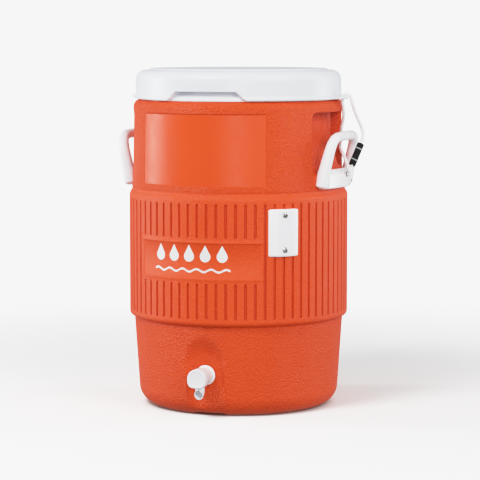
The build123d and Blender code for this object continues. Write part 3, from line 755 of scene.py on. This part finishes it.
def skin(rings):
    """Closed surface through rings of (angles, points), capped by a fan at each end."""
    points, faces, starts = [], [], []
    for angle, ring in rings:
        starts.append(len(points))
        points += [tuple(p) for p in ring]
    for k in range(len(rings) - 1):
        a_angle, b_angle = rings[k][0], rings[k + 1][0]
        a, b = starts[k], starts[k + 1]
        if len(a_angle) == len(b_angle) and np.allclose(a_angle, b_angle):
            n = len(a_angle)
            faces += [(a + i, a + (i + 1) % n, b + (i + 1) % n, b + i) for i in range(n)]
        else:
            zip_rings(faces, a, a_angle, b, b_angle)
    for k, flip in ((0, True), (len(rings) - 1, False)):
        n = len(rings[k][0])
        points.append((0, 0, float(np.mean(rings[k][1][:, 2]))))
        m = len(points) - 1
        for i in range(n):
            p, q = starts[k] + i, starts[k] + (i + 1) % n
            faces.append((q, p, m) if flip else (p, q, m))
    return points, faces


def inner_rows():
    """Rows of the shell's hidden inside, from the mouth down to the middle of the floor."""
    neck = [(130.5, 451.2), (144.0, 450.8)]
    neck += [(152.6, z) for z in (443, 440.6, 439.6, 438.9, 438.2, 437.4)]
    neck += [(152.9, z) for z in (430.0, 410.0, 402.0, 380.0, 358.0)] + [(154.6, 345.0), (155.0, 330.0)]
    low = [(155.3, 321.0), (159.3, 310.0), (159.3, 140.0), (152.2, 131.0)]
    low += [(145.4 + (z - 28) / 103 * 6.8, z) for z in (118, 112, 106, 100, 94, 88, 82, 76, 70, 60, 50, 40)]
    low += [(145.2, 28.0), (141.0, 15.5), (132.0, 7.6), (120.0, 7.2), (60.0, 7.2)]
    return [("neck", *row) for row in neck] + [("low", *row) for row in low]


def make_shell():
    zones = {"low": low_columns(), "belt": belt_columns(), "neck": neck_columns()}
    rings, labels = [], []
    for zone, radius, z in body_rows():
        angle = zones[zone]
        r, heights = outer_surface(zone, angle, float(radius), float(z))
        rings.append((angle, ring_points(angle, r, heights)))
        plain = np.full(len(angle), SMOOTHER.get(zone, 0.0))
        labels.append(label_share(angle, heights) if zone == "neck" else plain)
    for zone, radius, z in inner_rows():
        angle = zones[zone]
        r, heights = outer_surface(zone, angle, float(radius), float(z), WALL)
        rings.append((angle, ring_points(angle, r, heights)))
        labels.append(np.zeros(len(angle)))
    points, faces = skin(rings)
    shell = new_object("jug_shell", np.array(points, float) * MM, faces, MAT["orange_shell"], "body", 55)
    values = np.concatenate(labels + [np.zeros(2)]).astype(np.float32)
    shell.data.attributes.new("label", "FLOAT", "POINT").data.foreach_set("value", values)
    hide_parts("outer_shell")


# ======== panel mark ========
MARK_FROM = -28.8
MARK_OUT, MARK_IN = 0.16, -0.2
MARK_DROPS, DROP_FIRST, DROP_STEP = 5, 11.5, 25.0
DROP_R, DROP_Z, DROP_TIP_Z = 8.0, 233.6, 250.0
WAVES, WAVE_LENGTH, WAVE_Z, WAVE_RISE, WAVE_HALF, WAVE_STEPS = 5.5, 123.0, 213.5, 2.0, 1.5, 120


def make_mark():
    """Plain printed mark in the belt's panel: five water drops over a wave."""
    shape = Shape()
    front = BELT_R - PANEL_DEPTH

    def wrap(x, z, out):
        a = x / front
        return ((front + out) * math.sin(a), -(front + out) * math.cos(a), z)

    def plate(outline):
        """Thin closed plate from an outline of (x, z), split into a fan about its middle."""
        n = len(outline)
        cx, cz = np.mean(outline, axis=0)
        for out, flip in ((MARK_OUT, False), (MARK_IN, True)):
            base = [wrap(x, z, out) for x, z in outline]
            mid = [wrap((x + cx) / 2, (z + cz) / 2, out) for x, z in outline]
            points = base + mid + [wrap(cx, cz, out)]
            faces = []
            for i in range(n):
                k = (i + 1) % n
                quad, tri = (i, k, n + k, n + i), (n + i, n + k, 2 * n)
                faces += [quad[::-1], tri[::-1]] if flip else [quad, tri]
            shape.add(points, faces)
        points = [wrap(x, z, out) for out in (MARK_IN, MARK_OUT) for x, z in outline]
        shape.add(points, [(i, (i + 1) % n, n + (i + 1) % n, n + i) for i in range(n)])

    left = math.radians(MARK_FROM) * front
    for i in range(MARK_DROPS):
        cx = left + DROP_FIRST + i * DROP_STEP
        arc = np.radians(np.linspace(-215, 35, 33))
        plate([(cx + DROP_R * math.cos(t), DROP_Z + DROP_R * math.sin(t)) for t in arc] + [(cx, DROP_TIP_Z)])
    for i in range(WAVE_STEPS):
        x0, x1 = (left + 0.5 + WAVE_LENGTH * (i + d) / WAVE_STEPS for d in (0, 1))
        z0, z1 = (WAVE_Z + WAVE_RISE * math.sin(math.tau * (i + d) / WAVE_STEPS * WAVES) for d in (0, 1))
        plate([(x0, z0 - WAVE_HALF), (x1, z1 - WAVE_HALF), (x1, z1 + WAVE_HALF), (x0, z0 + WAVE_HALF)])
    mark = shape.object("panel_mark", INK, "body", 40)


# ======== lid ========
TAB_ROOT_X, TAB_END_X, TAB_END_R = 148.5, 159.0, 10.0
TAB_HOLE_X, TAB_HOLE_R = 160.2, 3.9
TAB_LOW_Z, TAB_HIGH_Z = 454.85, 459.35


def lid_columns():
    edges = [side * a for side in (-1, 1) for a in np.arange(15.5, 25.6, 0.5)]
    return column_set([(-180, -26, 2.0), (26, 180, 2.0), (-15, 15, 2.0)] + edges)


def notch_share(angle, z):
    """1 inside the finger notch, 0 outside, with rounded edges."""
    half = np.interp(z, [454.8, 467.0], [22.5, 17.3])
    side = 1 - smoothstep(half - 0.55, half + 0.55, np.abs(angle))
    return side * (1 - smoothstep(466.2, 468.2, z))


def lid_rows():
    """Rows of the cover as (radius, height): outside from the rim up, inside from the middle down."""
    outside = [(148.5, 455.0), (152.4, 454.85), (153.3, 455.0), (153.85, 455.5), (154.0, 456.2),
               (154.0, 457.6), (153.9, 458.4), (153.5, 459.0), (152.9, 459.4), (152.62, 460.0), (152.55, 461.0)]
    outside += [(152.5, z) for z in (462.5, 464, 465.5, 466.3, 467, 467.7, 468.4, 470, 474, 479, 483)]
    for a in np.linspace(0, math.pi / 2, 13)[1:]:
        outside.append((138.5 + 14 * math.cos(a), 483 + 14 * math.sin(a)))
    outside += [(136.0, 497.05), (134.4, 497.1), (133.4, 497.3), (132.6, 497.9), (131.9, 498.7),
                (131.2, 499.2), (130.0, 499.45), (126.0, 499.5), (110.0, 499.5), (80.0, 499.5), (40.0, 499.5)]
    inside = [(40.0, 496.5), (110.0, 496.5), (130.0, 496.0), (138.0, 494.0), (145.0, 490.0), (149.3, 482.0),
              (149.5, 470.5), (149.5, 468.0), (149.5, 466.0), (149.5, 461.0), (148.6, 456.0)]
    return outside, inside


def make_lid():
    angle = lid_columns()
    outside, inside = lid_rows()
    rings = []
    for radius, z in inside:
        wide = (np.abs(angle) < 24.6) & (z < 471)
        r = np.where(wide, min(radius, 133.6), radius)
        rings.append(ring_points(angle, r, np.full_like(angle, z)))
    for radius, z in outside:
        share = notch_share(angle, np.full_like(angle, z)) if z < 470 else 0
        back = float(np.interp(z, [455.0, 459.0, 466.0, 468.5], [148.6, 147.4, 140.0, 137.6]))
        r = radius + share * (min(radius, back) - radius)
        rings.append(ring_points(angle, r, np.full_like(angle, z)))
    shape = Shape()
    shape.grid(rings)
    lid = shape.object("lid_cover", MAT["white_lid"], "lid", 50)
    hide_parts("lid_shell")
    for side, name in ((1, "lid_tab_right"), (-1, "lid_tab_left")):
        tab = tab_shape(side).object(name, MAT["white_lid"], "lid", 50)
        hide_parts("lid_shell")


def tab_shape(side):
    """Flat ear with a rope hole, made of rings round the hole."""
    turn = turns(96)
    outer = []
    for t in turn:
        low, high = 0.0, 40.0
        for _ in range(30):             # halves the span that holds the ear's edge
            r = (low + high) / 2
            x, y = TAB_HOLE_X + r * math.cos(t), r * math.sin(t)
            flank = TAB_END_R + 7.0 * max(0.0, (TAB_END_X - x) / 12.0) ** 1.25
            end = x >= TAB_END_X and math.hypot(x - TAB_END_X, y) < TAB_END_R
            inside = end or (TAB_ROOT_X < x < TAB_END_X and abs(y) < flank)
            low, high = (r, high) if inside else (low, r)
        outer.append(low)
    hole = both_ends(TAB_LOW_Z, TAB_HIGH_Z, [(0.0, 0.9), (0.2, 0.35), (0.9, 0.0)])
    edge = both_ends(TAB_LOW_Z, TAB_HIGH_Z, [(0.0, 1.1), (0.25, 0.45), (0.9, 0.08), (1.6, 0.0)])
    rings = [(z, np.full(len(turn), TAB_HOLE_R + inset)) for z, inset in hole]
    rings += [(z, np.array(outer) - inset) for z, inset in reversed(edge)]
    rows = [[(side * (TAB_HOLE_X + r * math.cos(t)), side * r * math.sin(t), z) for r, t in zip(radii, turn)]
            for z, radii in reversed(rings)]
    shape = Shape()
    shape.grid(rows, closed=True)
    return shape


# ======== handles ========
GRIP_HALF_PATH = [(148.6, 62.6, 330.0), (151.6, 62.5, 348.0), (155.2, 61.9, 363.5), (158.9, 60.2, 379.0),
                  (161.6, 56.0, 390.5), (163.4, 47.5, 398.0), (164.0, 35.0, 400.7), (164.0, 17.0, 401.0)]


def through(points, per_span=10):
    """Catmull-Rom line through the points."""
    p = np.array([2 * np.array(points[0]) - points[1], *points, 2 * np.array(points[-1]) - points[-2]], float)
    out = []
    for i in range(1, len(p) - 2):
        for t in np.arange(per_span) / per_span:
            a, b, c, d = p[i - 1:i + 3]
            out.append(0.5 * (2 * b + (c - a) * t + (2 * a - 5 * b + 4 * c - d) * t * t
                              + (3 * b - a - 3 * c + d) * t ** 3))
    out.append(p[-2])
    return np.array(out)


def grip_shape():
    near = [(x, -y, z) for x, y, z in GRIP_HALF_PATH]
    line = through(near + [(164.0, 0.0, 401.3)] + GRIP_HALF_PATH[::-1])
    tangent = np.gradient(line, axis=0)
    tangent /= np.linalg.norm(tangent, axis=1)[:, None]
    rows = []
    for p, t in zip(line, tangent):
        out = np.array([1.0, 0.0, 0.0])
        out = out - t * (out @ t)
        out /= np.linalg.norm(out)
        up = np.cross(t, out)
        root = float(np.clip((400 - p[2]) / 60, 0, 1))      # 1 where the bar meets its plate
        x, y = fuller_oval(turns(36), 0.86, 6.9 + 2.4 * root, 6.9 + 3.2 * root)
        rows.append([tuple(p + a * out + b * up) for a, b in zip(x, y)])
    shape = Shape()
    shape.grid(rows)
    return shape


def round_off(distance, radius):
    """How far a rounded edge falls back at a distance from the end."""
    return radius - math.sqrt(max(0.0, radius ** 2 - (radius - distance) ** 2)) if distance < radius else 0


def plate_shape():
    """Curved base plate of a handle with rounded corners and a bevelled top shelf."""
    half, radius, low, corner = 25.2, 168.0, 326.5, 8.0
    arc = radius * math.radians(1)
    angles = np.concatenate([np.linspace(0, 8 / arc, 9), np.linspace(8 / arc, half, 30)[1:]])
    angles = np.concatenate([-half + angles, (half - angles)[::-1][1:]])
    rows = []
    for a in angles:
        d = (half - abs(a)) * arc
        low_z = low + round_off(d, corner)
        face = radius - round_off(d, 1.6)
        top = 354.0 - round_off(d, 4.0)
        loop = [(156.4, low_z), (face - 2.4, low_z), (face - 0.9, low_z + 0.5), (face, low_z + 2.2),
                (face, 345.6), (face - 0.25, 346.7), (face - 0.9, 347.7), (162.4, top - 1.2),
                (161.4, top - 0.3), (160.4, top), (157.6, top)]
        t = math.radians(a)
        rows.append([(r * math.cos(t), r * math.sin(t), z) for r, z in loop])
    shape = Shape()
    shape.grid(rows)
    return shape


def fused(shape, name, material, body, voxel, smooth):
    """The shape's forms merged into one skin with softened joints."""
    rough = shape.object(name + "_rough", material, None)
    remesh = rough.modifiers.new("merge", "REMESH")
    remesh.mode = "VOXEL"
    remesh.voxel_size = voxel * MM
    soften = rough.modifiers.new("soften", "SMOOTH")
    soften.factor = 0.5
    soften.iterations = smooth
    bpy.context.view_layer.update()
    mesh = bpy.data.meshes.new_from_object(rough.evaluated_get(bpy.context.evaluated_depsgraph_get()))
    mesh.name = name
    bpy.data.objects.remove(rough)
    mesh.shade_smooth()
    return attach(in_scene(name, mesh), body)


def make_handles():
    shape = grip_shape()
    plate = plate_shape()
    shape.add(plate.points, plate.faces)
    for side, name in ((1, "handle_right"), (-1, "handle_left")):
        turned = Shape()
        turned.add([(side * x, side * y, z) for x, y, z in shape.points], shape.faces)
        handle = fused(turned, "carry_" + name, MAT["white_fittings"], "body", 0.85, 5)
        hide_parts(name)


# ======== screws ========
SLOT_DEPTH, SLOT_FROM_Z = 1.5, 1.9
FIRST_SPIN, NEXT_SPIN = 20.0, 37.0      # how far each screw's slot is turned


def screw_rows():
    """Head, as rings, with a cross slot pressed into its crown; then the shank."""
    profile = [(2.1, -15.0), (2.1, -0.2), (3.95, 0.0), (4.2, 0.25), (4.2, 0.8), (4.05, 1.25), (3.75, 1.65),
               (3.3, 2.0), (2.9, 2.16), (2.5, 2.26), (2.1, 2.33), (1.7, 2.37), (1.3, 2.39), (0.95, 2.4),
               (0.6, 2.4), (0.3, 2.4)]
    rows = []
    for ring in lathe_rows(profile, 64):
        row = []
        for x, y, z in ring:
            arm, reach = sorted((abs(x), abs(y)))
            slot = (1 - float(smoothstep(0.32, 0.62, arm))) * (1 - float(smoothstep(2.0, 2.7, reach)))
            row.append((x, y, z - SLOT_DEPTH * slot if z > SLOT_FROM_Z else z))
        rows.append(row)
    return rows


def make_screws(name, node, places):
    shape = Shape()
    rows = screw_rows()
    for i, (angle, z, distance) in enumerate(places):
        spin = Matrix.Rotation(math.radians(FIRST_SPIN + i * NEXT_SPIN), 4, "Z")
        shape.grid(rows, place=along_front(distance, z, angle) @ spin)
    screws = shape.object(name, MAT["screw_steel"], "body", 35)
    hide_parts(node)


def make_all_screws():
    for side, turned in (("right", 90), ("left", -90)):
        places = [(turned + a, z, 167.8) for a, z in HANDLE_SCREWS]
        make_screws("screws_" + side, "handle_screws_" + side, places)
    places = [(BRACKET_AZIMUTH, z, 167.0) for z in BRACKET_SCREW_Z]
    make_screws("screws_bracket", "cup_bracket_screws", places)


# ======== cup bracket ========
def make_bracket():
    half, face_half, face, edge = 24.0, 9.5, 167.6, 163.6
    side = [(face_half, face, 0.4), (face_half + 0.5, face - 1.0, 0.2), (face_half + 1.1, face - 0.45, 0.2),
            (half - 1.5, edge - 2.2, 1.6), (half, edge - 3.6, 0.8), (half, 158.0)]
    section = np.array(rounded([(-x, *rest) for x, *rest in reversed(side)] + side, 1.0))
    ends = [(0.0, 1.9), (0.25, 1.1), (0.8, 0.45), (1.7, 0.08), (3.0, 0.0)]
    levels = both_ends(BRACKET_Z - BRACKET_HALF_HEIGHT, BRACKET_Z + BRACKET_HALF_HEIGHT, ends)
    levels.insert(len(ends), (BRACKET_Z, 0.0))
    rows = []
    for z, inset in levels:
        x = section[:, 0] * (1 - inset * 0.5 / half)
        y = np.where(section[:, 1] > 158.5, section[:, 1] - inset, section[:, 1])
        rows.append([(a, -b, z) for a, b in zip(x, y)])
    shape = Shape()
    shape.grid(rows)
    turned = Matrix.Rotation(math.radians(BRACKET_AZIMUTH), 4, "Z")
    plate = shape.object("cup_bracket_plate", MAT["white_fittings"], "body", 40, turned)
    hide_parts("cup_bracket")


# ======== spigot ========
BARREL_END = 177.3
CAP_R, CAP_FACE = 13.7, 184.0


def make_spigot():
    outer = [(5.5, 108.0), (8.5, 108.0), (8.5, 144.4), (13.6, 144.5), (14.3, 144.8), (14.5, 145.4),
             (14.5, 146.3), (14.2, 147.0), (13.2, 147.5), (12.5, 147.7), (12.2, 148.1), (12.1, 149.0),
             (12.1, 166.6), (12.3, 167.4), (12.6, 168.2), (12.6, 175.9), (12.3, 176.8), (11.6, BARREL_END),
             (2.56, BARREL_END), (2.56, 173.0), (5.5, 173.0), (5.5, 140.0)]
    whole = Shape()
    whole.grid(lathe_rows(outer, 72), closed=True, place=along_front(0, SPIGOT_Z))
    whole.grid(nozzle_rows())
    spigot = whole.object("spigot_housing", MAT["white_fittings"], "body", 40)
    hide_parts("spigot_body")


def nozzle_rows():
    """Water outlet: a short elbow that leaves the barrel downwards, its rounded lip facing forward."""
    drop_y, bend_z, bend_r, reach = 168.6, 44.0, 8.0, math.radians(76)

    def ring(along, wide, tall, out=0.0):
        """Ring at a share of the way along; past 0.4 the line bends forward."""
        bend = reach * max(0.0, (along - 0.4) / 0.6)
        forward = bend_r * (1 - math.cos(bend)) + out * math.sin(bend)
        z = bend_z - bend_r * math.sin(bend) + 14.0 * max(0.0, 0.4 - along) / 0.4 - out * math.cos(bend)
        row = []
        for t in turns(64):
            side, up = wide * math.cos(t), tall * math.sin(t)
            row.append((side, -(drop_y + forward + up * math.cos(bend)), z + up * math.sin(bend)))
        return row

    rows = [ring(a, 6.5 + 0.3 * a, 6.6 + 1.0 * a) for a in (0.0, 0.2, 0.4, 0.5, 0.6, 0.7, 0.8, 0.9, 1.0)]
    lip = [(6.8, 7.6, 0.0), (6.75, 7.55, 0.4), (6.5, 7.3, 0.8), (6.1, 6.9, 1.0), (5.8, 6.6, 1.0),
           (5.4, 6.2, 0.8), (5.15, 5.95, 0.4)]
    rows += [ring(1.0, *part) for part in lip]
    rows += [ring(a, 4.9 + 0.15 * a, 5.0 + 0.8 * a) for a in (1.0, 0.9, 0.8, 0.7, 0.6, 0.5, 0.4, 0.25, 0.1)]
    return rows


def make_button():
    shape = Shape()

    def squared(radius, turn):
        """Round above; below, a rounded square foot."""
        across = np.abs(np.cos(turn)) ** 3 + np.abs(np.sin(turn)) ** 3
        return np.where(np.sin(turn) < 0, radius / across ** (1 / 3), radius)

    disc = [(0.5, CAP_FACE), (12.9, CAP_FACE), (13.5, 184.15), (CAP_R, 184.6), (CAP_R, 185.1), (13.5, 185.75),
            (13.0, 186.2), (12.3, 186.42), (11.7, 186.45), (11.3, 186.3), (10.9, 186.0), (10.4, 185.9),
            (4.0, 185.9), (0.5, 185.9)]
    shape.grid(lathe_rows(disc, 120, squared))
    slot = math.asin(8.0 / CAP_R)       # half the gap that clears the nozzle
    turn = np.linspace(-math.pi / 2 + slot, 1.5 * math.pi - slot, 81)
    loop = [(12.95, 184.4), (12.95, 170.3), (13.1, 170.0), (13.5, 170.0), (CAP_R, 170.4), (CAP_R, 177.0),
            (CAP_R, 184.4)]
    columns = [[(r * math.cos(t), r * math.sin(t), z) for r, t in zip(squared(radius, turn), turn)]
               for radius, z in loop]
    shape.grid(list(zip(*columns)))
    boss = [(0.4, 182.8), (4.0, 182.8), (4.2, 183.0), (4.2, 184.3), (0.4, 184.3)]
    shape.grid(lathe_rows(boss, 32))
    button = shape.object("push_button", MAT["white_fittings"], "button", 40, along_front(0, SPIGOT_Z))
    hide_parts("spigot_button")


def make_spring():
    """Conical wire spring behind the button, built at rest; the real one flattens as the button goes in."""
    wire_r, windings = 0.45, 3.5
    t = np.linspace(0, 1, 170)
    r = 10.0 - 4.0 * t
    a = math.tau * windings * t
    height = BARREL_END + wire_r + t * (CAP_FACE - BARREL_END - 2 * wire_r)
    shape = Shape()
    tube(shape, np.stack([r * np.cos(a), r * np.sin(a), height], axis=1), wire_r)
    spring = shape.object("button_spring", MAT["spring_steel"], "body", 60, along_front(0, SPIGOT_Z))
    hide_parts("return_spring")
    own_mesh(spring)


# ======== studio ========
def stage_plane(name, points, faces, material, **visible):
    obj = new_object(name, points, faces, material)
    for ray, shown in visible.items():
        setattr(obj, "visible_" + ray, shown)
    return obj


def backdrop_material():
    m = Nodes("studio_backdrop")
    return m.surface(m.light(1.0))


def floor_material():
    """Pale paper, lit near the jug, with a painted contact shadow in a dark ring under its foot, and plain far
    away.
    """
    m = Nodes("studio_floor")
    length = m.node("ShaderNodeVectorMath", operation="LENGTH")
    m.put(length, 0, m.where())
    away = length.outputs["Value"]
    paint = m.node("ShaderNodeBsdfDiffuse", Color=(FLOOR_ALBEDO, FLOOR_ALBEDO, FLOOR_ALBEDO, 1))
    lit = m.node("ShaderNodeAddShader")
    m.put(lit, 0, m.light(FLOOR_GLOW))
    m.put(lit, 1, paint.outputs[0])
    # Painted contact shadow: the floor goes dark in a ring under the jug's foot.
    ring = m.span(away, *PAINTED_SHADOW_RADII, UNDER_FOOT_SHADE, 1.0, interpolation_type="SMOOTHSTEP")
    near = m.mix(ring, m.light(0.0), lit.outputs[0])
    far = m.span(away, *FLOOR_FADE, interpolation_type="SMOOTHSTEP")
    return m.surface(m.mix(far, near, m.light(1.0)))


def make_stage():
    """Floor and dome. Both stay out of the jug's own light. Returns the floor."""
    turn = turns(96)
    rings = [0.0001] + [STAGE_R * (i / 40) ** 1.6 for i in range(1, 41)]
    floor = Shape()
    floor.grid([[(r * math.cos(t), r * math.sin(t), 0.0) for t in turn] for r in rings], cap_high=False)
    ground = stage_plane("studio_floor", floor.points, floor.faces, floor_material(),
                         diffuse=False, glossy=False, transmission=False)
    dome = Shape()
    rise = np.linspace(-0.2, math.pi / 2 - 0.02, 24)
    slices = [(STAGE_R * math.cos(h), STAGE_R * math.sin(h)) for h in rise]
    dome.grid([[(r * math.cos(t), r * math.sin(t), z) for t in turn] for r, z in slices], cap_low=False)
    stage_plane("studio_backdrop", dome.points, dome.faces, backdrop_material(),
                diffuse=False, glossy=False, transmission=False, shadow=False, volume_scatter=False)
    return ground


def area_light(name, azimuth, distance, height, width, tall, power, aim=0.26):
    """Softbox at an azimuth from the camera's direction, positive to the camera's right."""
    data = bpy.data.lights.new(name, "AREA")
    data.shape = "RECTANGLE"
    data.size, data.size_y = width, tall
    data.energy = power
    light = in_scene(name, data)
    a = CAM_AZIMUTH + math.radians(azimuth)
    light.location = (distance * math.sin(a), -distance * math.cos(a), height)
    look = Vector((0, 0, aim)) - light.location
    light.rotation_euler = look.to_track_quat("-Z", "Y").to_euler()
    return light


def make_lights(ground):
    world = bpy.data.worlds.new("studio")
    bpy.context.scene.world = world
    world.use_nodes = True
    back = world.node_tree.nodes["Background"]
    back.inputs["Color"].default_value = (1, 1, 1, 1)
    back.inputs["Strength"].default_value = WORLD
    area_light("left_strip", -99, 1.6, 0.40, 0.2, 1.1, 21)
    area_light("right_strip", 104, 1.6, 0.40, 0.3, 1.1, 12)
    area_light("key", -40, 1.7, 1.95, 0.7, 0.7, 31)
    area_light("fill", 38, 2.3, 1.35, 1.3, 1.3, 34)
    area_light("front_soft", -2, 3.3, 0.5, 0.6, 0.7, 20)
    floor_key = area_light("floor_key", -34, 1.5, 2.0, 0.9, 0.9, 24, aim=0.0)
    only_floor = bpy.data.collections.new("floor_key_receivers")
    only_floor.objects.link(ground)
    floor_key.light_linking.receiver_collection = only_floor


def soft_film():
    """Standard colours whose brightest tones are eased off, as a camera does."""
    view = bpy.context.scene.view_settings
    view.view_transform = "Standard"
    view.look = "None"
    view.use_curve_mapping = True
    mapping = view.curve_mapping
    mapping.white_level = (FILM_WHITE,) * 3
    tone = mapping.curves[3]
    tone.points[0].location = (0.0, 0.0)
    tone.points[-1].location = (1.0, FILM_TONES[-1][1])
    for level, shown in FILM_TONES[1:-1]:
        tone.points.new(level / FILM_WHITE, shown)
    mapping.update()


def dress_cad_nodes():
    """Gives every CAD node its slot's material."""
    slots = {part["node"]: part["material_slot"] for part in frame["record"]["subparts"]}
    for node, obj in frame["nodes"].items():
        obj.data.materials.clear()
        obj.data.materials.append(MAT[slots[node]])


dress_cad_nodes()
make_shell()
make_mark()
make_lid()
make_handles()
make_all_screws()
make_bracket()
make_spigot()
make_button()
make_spring()
make_lights(make_stage())
soft_film()
